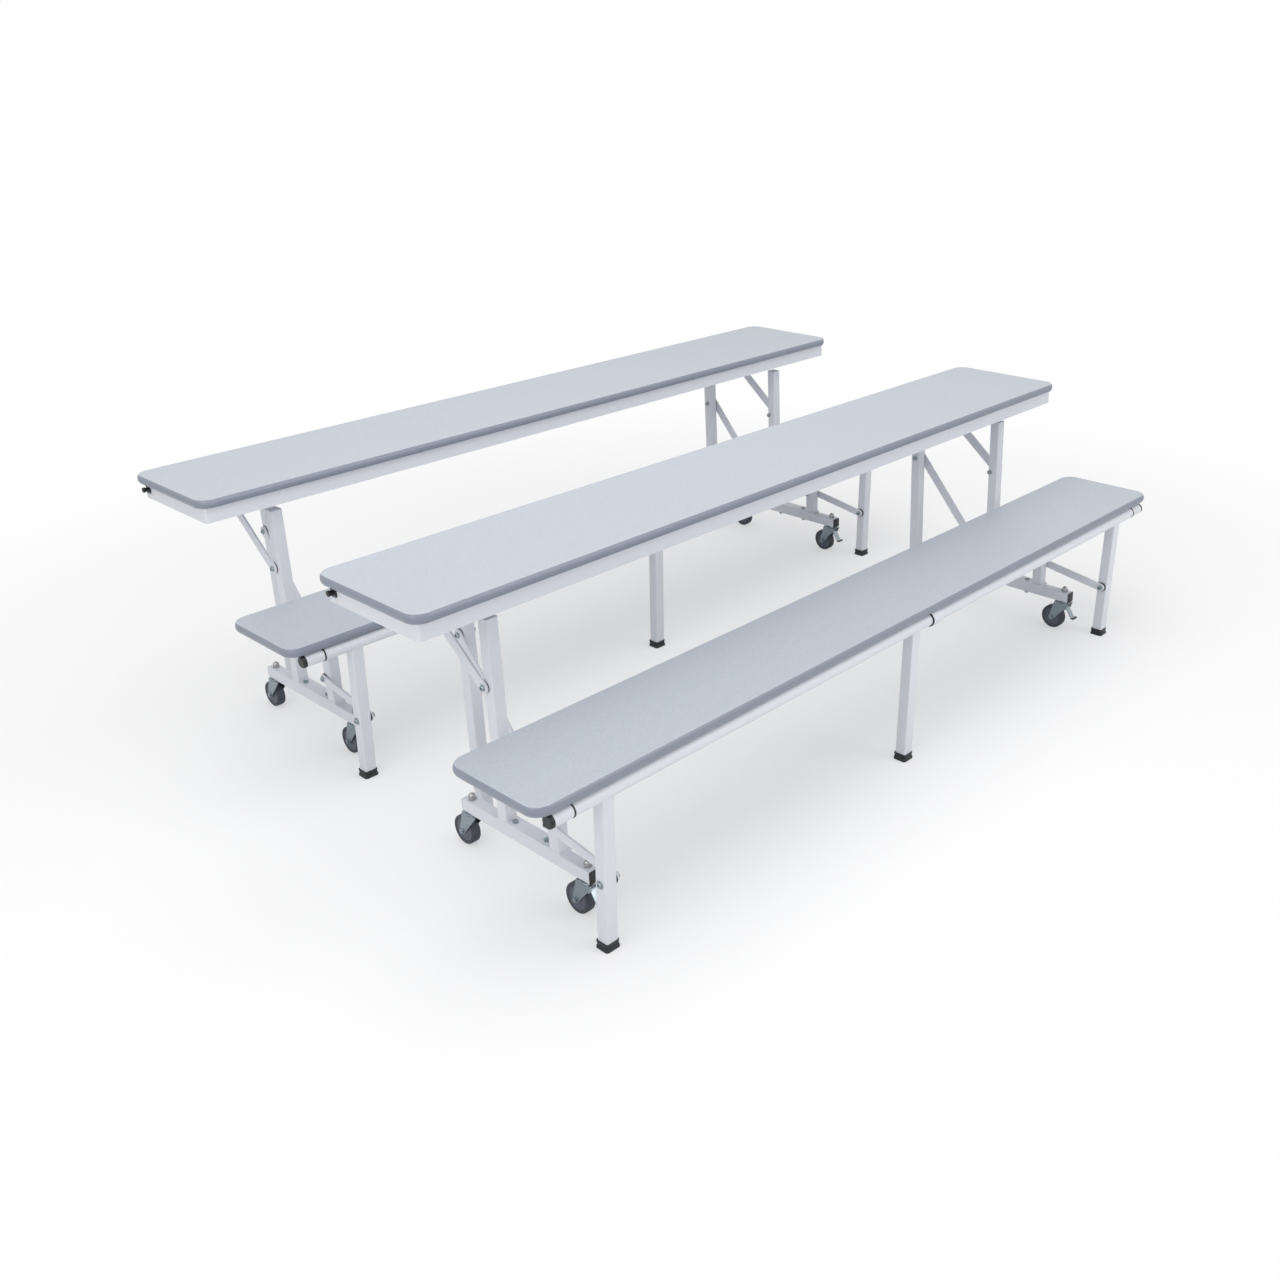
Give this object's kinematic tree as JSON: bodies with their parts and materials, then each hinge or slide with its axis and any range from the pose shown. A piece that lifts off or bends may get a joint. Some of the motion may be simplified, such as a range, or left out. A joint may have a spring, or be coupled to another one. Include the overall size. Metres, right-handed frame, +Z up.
{
  "type": "convertible bench table",
  "caption": "Pair of rolling cafeteria tables, each with a folding top that turns into a backrest and an attached fold-up bench on a tube frame with swivel casters.",
  "frame": {"origin": "middle of the pair's bounding box, on the floor", "axes": "+X along the tops, +Y from the bench side to the table side, +Z up"},
  "size_m": [2.505, 1.7509, 0.735],
  "materials": {
    "white": "fine-textured powder coat",
    "laminate": "high-pressure laminate",
    "band": "satin vinyl band",
    "black": "moulded plastic",
    "zinc": "bright zinc plate",
    "chrome": "polished chrome",
    "rubber": "moulded tread"
  },
  "bodies": {
    "frames": {"caster_beams": "white", "beam_plugs": "black", "bracket_plates": "white", "bracket_bolts": "zinc", "table_uprights": "white", "seat_posts": "white", "seat_rails": "white", "stem_nuts": "chrome", "pivot_bolts": "zinc"},
    "front_arms": {"front_table_arms": "white"},
    "front_top": {"front_table_board": "laminate", "front_table_edge": "band", "front_table_apron": "white", "front_latch_base": "black"},
    "front_latch": {"front_latch_knob": "black"},
    "front_legs": {"front_table_legs": "white", "front_table_feet": "black"},
    "front_links": {"front_table_leg_links": "white"},
    "front_seat": {"front_seat_board": "laminate", "front_seat_edge": "band", "front_seat_frame": "white"},
    "front_bench_legs": {"front_seat_legs": "white", "front_seat_leg_caps": "black"},
    "front_stays": {"front_seat_leg_links": "white"},
    "front_left_table_swivel": {"front_left_table_fork": "zinc"},
    "front_left_table_roller": {"front_left_table_wheel": "rubber"},
    "front_left_bench_swivel": {"front_left_bench_fork": "zinc"},
    "front_left_bench_roller": {"front_left_bench_wheel": "rubber"},
    "front_left_bench_pedal": {"front_left_bench_brake": "black"},
    "front_right_table_swivel": {"front_right_table_fork": "zinc"},
    "front_right_table_roller": {"front_right_table_wheel": "rubber"},
    "front_right_bench_swivel": {"front_right_bench_fork": "zinc"},
    "front_right_bench_roller": {"front_right_bench_wheel": "rubber"},
    "front_right_bench_pedal": {"front_right_bench_brake": "black"},
    "back_arms": {"back_table_arms": "white"},
    "back_top": {"back_table_board": "laminate", "back_table_edge": "band", "back_table_apron": "white", "back_latch_base": "black"},
    "back_latch": {"back_latch_knob": "black"},
    "back_legs": {"back_table_legs": "white", "back_table_feet": "black"},
    "back_links": {"back_table_leg_links": "white"},
    "back_seat": {"back_seat_board": "laminate", "back_seat_edge": "band", "back_seat_frame": "white"},
    "back_bench_legs": {"back_seat_legs": "white", "back_seat_leg_caps": "black"},
    "back_stays": {"back_seat_leg_links": "white"},
    "back_left_table_swivel": {"back_left_table_fork": "zinc"},
    "back_left_table_roller": {"back_left_table_wheel": "rubber"},
    "back_left_bench_swivel": {"back_left_bench_fork": "zinc"},
    "back_left_bench_roller": {"back_left_bench_wheel": "rubber"},
    "back_left_bench_pedal": {"back_left_bench_brake": "black"},
    "back_right_table_swivel": {"back_right_table_fork": "zinc"},
    "back_right_table_roller": {"back_right_table_wheel": "rubber"},
    "back_right_bench_swivel": {"back_right_bench_fork": "zinc"},
    "back_right_bench_roller": {"back_right_bench_wheel": "rubber"},
    "back_right_bench_pedal": {"back_right_bench_brake": "black"}
  },
  "joints": [
    {"name": "front_table_fold", "type": "hinge", "parent": "frames", "child": "front_arms", "pos_m": [-0.0295, -0.435, 0.475], "axis": [1, 0, 0], "range_deg": [0, 58.3]},
    {"name": "front_top_tilt", "type": "hinge", "parent": "front_arms", "child": "front_top", "pos_m": [-0.0295, -0.1865, 0.68], "axis": [1, 0, 0], "range_deg": [0, 19.75]},
    {"name": "front_leg_swing", "type": "hinge", "parent": "front_top", "child": "front_legs", "pos_m": [-0.0295, -0.2185, 0.6845], "axis": [1, 0, 0], "range_deg": [-84.9, 0]},
    {"name": "front_link_swing", "type": "hinge", "parent": "frames", "child": "front_links", "pos_m": [-0.0295, -0.4415, 0.2273], "axis": [1, 0, 0], "range_deg": [0, 50.3]},
    {"name": "front_latch_pull", "type": "slide", "parent": "front_top", "child": "front_latch", "axis": [-1, 0, 0], "range_m": [0, 0.008], "stiffness_N_per_m": 300},
    {"name": "front_seat_fold", "type": "hinge", "parent": "frames", "child": "front_seat", "pos_m": [-0.0295, -0.6165, 0.404], "axis": [-1, 0, 0], "range_deg": [0, 72]},
    {"name": "front_bench_leg_swing", "type": "hinge", "parent": "front_seat", "child": "front_bench_legs", "pos_m": [-0.0295, -0.8555, 0.39], "axis": [-1, 0, 0], "range_deg": [-65.9, 0]},
    {"name": "front_stay_swing", "type": "hinge", "parent": "frames", "child": "front_stays", "pos_m": [-0.0295, -0.6195, 0.203], "axis": [-1, 0, 0], "range_deg": [0, 75.3]},
    {"name": "front_left_table_swivel", "type": "hinge", "parent": "frames", "child": "front_left_table_swivel", "pos_m": [-1.0235, -0.3095, 0.096], "axis": [0, 0, 1], "continuous": true},
    {"name": "front_left_table_roll", "type": "hinge", "parent": "front_left_table_swivel", "child": "front_left_table_roller", "pos_m": [-1.0235, -0.2755, 0.0375], "axis": [1, 0, 0], "continuous": true},
    {"name": "front_left_bench_swivel", "type": "hinge", "parent": "frames", "child": "front_left_bench_swivel", "pos_m": [-1.0235, -0.7255, 0.096], "axis": [0, 0, 1], "continuous": true},
    {"name": "front_left_bench_roll", "type": "hinge", "parent": "front_left_bench_swivel", "child": "front_left_bench_roller", "pos_m": [-1.0235, -0.6915, 0.0375], "axis": [1, 0, 0], "continuous": true},
    {"name": "front_left_bench_brake", "type": "hinge", "parent": "front_left_bench_swivel", "child": "front_left_bench_pedal", "pos_m": [-1.0235, -0.7385, 0.081], "axis": [1, 0, 0], "range_deg": [0, 6]},
    {"name": "front_right_table_swivel", "type": "hinge", "parent": "frames", "child": "front_right_table_swivel", "pos_m": [0.9645, -0.3095, 0.096], "axis": [0, 0, 1], "continuous": true},
    {"name": "front_right_table_roll", "type": "hinge", "parent": "front_right_table_swivel", "child": "front_right_table_roller", "pos_m": [0.9645, -0.2755, 0.0375], "axis": [1, 0, 0], "continuous": true},
    {"name": "front_right_bench_swivel", "type": "hinge", "parent": "frames", "child": "front_right_bench_swivel", "pos_m": [0.9645, -0.7255, 0.096], "axis": [0, 0, 1], "continuous": true},
    {"name": "front_right_bench_roll", "type": "hinge", "parent": "front_right_bench_swivel", "child": "front_right_bench_roller", "pos_m": [0.9645, -0.6915, 0.0375], "axis": [1, 0, 0], "continuous": true},
    {"name": "front_right_bench_brake", "type": "hinge", "parent": "front_right_bench_swivel", "child": "front_right_bench_pedal", "pos_m": [0.9645, -0.7385, 0.081], "axis": [1, 0, 0], "range_deg": [0, 6]},
    {"name": "back_table_fold", "type": "hinge", "parent": "frames", "child": "back_arms", "pos_m": [0.0295, 0.58, 0.475], "axis": [1, 0, 0], "range_deg": [0, 58.3]},
    {"name": "back_top_tilt", "type": "hinge", "parent": "back_arms", "child": "back_top", "pos_m": [0.0295, 0.8285, 0.68], "axis": [1, 0, 0], "range_deg": [0, 19.75]},
    {"name": "back_leg_swing", "type": "hinge", "parent": "back_top", "child": "back_legs", "pos_m": [0.0295, 0.7965, 0.6845], "axis": [1, 0, 0], "range_deg": [-84.9, 0]},
    {"name": "back_link_swing", "type": "hinge", "parent": "frames", "child": "back_links", "pos_m": [0.0295, 0.5735, 0.2273], "axis": [1, 0, 0], "range_deg": [0, 50.3]},
    {"name": "back_latch_pull", "type": "slide", "parent": "back_top", "child": "back_latch", "axis": [-1, 0, 0], "range_m": [0, 0.008], "stiffness_N_per_m": 300},
    {"name": "back_seat_fold", "type": "hinge", "parent": "frames", "child": "back_seat", "pos_m": [0.0295, 0.3985, 0.404], "axis": [-1, 0, 0], "range_deg": [0, 72]},
    {"name": "back_bench_leg_swing", "type": "hinge", "parent": "back_seat", "child": "back_bench_legs", "pos_m": [0.0295, 0.1595, 0.39], "axis": [-1, 0, 0], "range_deg": [-65.9, 0]},
    {"name": "back_stay_swing", "type": "hinge", "parent": "frames", "child": "back_stays", "pos_m": [0.0295, 0.3955, 0.203], "axis": [-1, 0, 0], "range_deg": [0, 75.3]},
    {"name": "back_left_table_swivel", "type": "hinge", "parent": "frames", "child": "back_left_table_swivel", "pos_m": [-0.9645, 0.7055, 0.096], "axis": [0, 0, 1], "continuous": true},
    {"name": "back_left_table_roll", "type": "hinge", "parent": "back_left_table_swivel", "child": "back_left_table_roller", "pos_m": [-0.9645, 0.7395, 0.0375], "axis": [1, 0, 0], "continuous": true},
    {"name": "back_left_bench_swivel", "type": "hinge", "parent": "frames", "child": "back_left_bench_swivel", "pos_m": [-0.9645, 0.2895, 0.096], "axis": [0, 0, 1], "continuous": true},
    {"name": "back_left_bench_roll", "type": "hinge", "parent": "back_left_bench_swivel", "child": "back_left_bench_roller", "pos_m": [-0.9645, 0.3235, 0.0375], "axis": [1, 0, 0], "continuous": true},
    {"name": "back_left_bench_brake", "type": "hinge", "parent": "back_left_bench_swivel", "child": "back_left_bench_pedal", "pos_m": [-0.9645, 0.2765, 0.081], "axis": [1, 0, 0], "range_deg": [0, 6]},
    {"name": "back_right_table_swivel", "type": "hinge", "parent": "frames", "child": "back_right_table_swivel", "pos_m": [1.0235, 0.7055, 0.096], "axis": [0, 0, 1], "continuous": true},
    {"name": "back_right_table_roll", "type": "hinge", "parent": "back_right_table_swivel", "child": "back_right_table_roller", "pos_m": [1.0235, 0.7395, 0.0375], "axis": [1, 0, 0], "continuous": true},
    {"name": "back_right_bench_swivel", "type": "hinge", "parent": "frames", "child": "back_right_bench_swivel", "pos_m": [1.0235, 0.2895, 0.096], "axis": [0, 0, 1], "continuous": true},
    {"name": "back_right_bench_roll", "type": "hinge", "parent": "back_right_bench_swivel", "child": "back_right_bench_roller", "pos_m": [1.0235, 0.3235, 0.0375], "axis": [1, 0, 0], "continuous": true},
    {"name": "back_right_bench_brake", "type": "hinge", "parent": "back_right_bench_swivel", "child": "back_right_bench_pedal", "pos_m": [1.0235, 0.2765, 0.081], "axis": [1, 0, 0], "range_deg": [0, 6]}
  ],
  "couplings": [
    {"joint": "front_top_tilt", "follows": "front_table_fold", "ratio": 0.33791},
    {"joint": "front_leg_swing", "follows": "front_table_fold", "ratio": -1.4545},
    {"joint": "front_link_swing", "follows": "front_table_fold", "ratio": 0.86003},
    {"joint": "front_bench_leg_swing", "follows": "front_seat_fold", "ratio": -0.915},
    {"joint": "front_stay_swing", "follows": "front_seat_fold", "ratio": 1.045},
    {"joint": "back_top_tilt", "follows": "back_table_fold", "ratio": 0.33791},
    {"joint": "back_leg_swing", "follows": "back_table_fold", "ratio": -1.4545},
    {"joint": "back_link_swing", "follows": "back_table_fold", "ratio": 0.86003},
    {"joint": "back_bench_leg_swing", "follows": "back_seat_fold", "ratio": -0.915},
    {"joint": "back_stay_swing", "follows": "back_seat_fold", "ratio": 1.045}
  ]
}
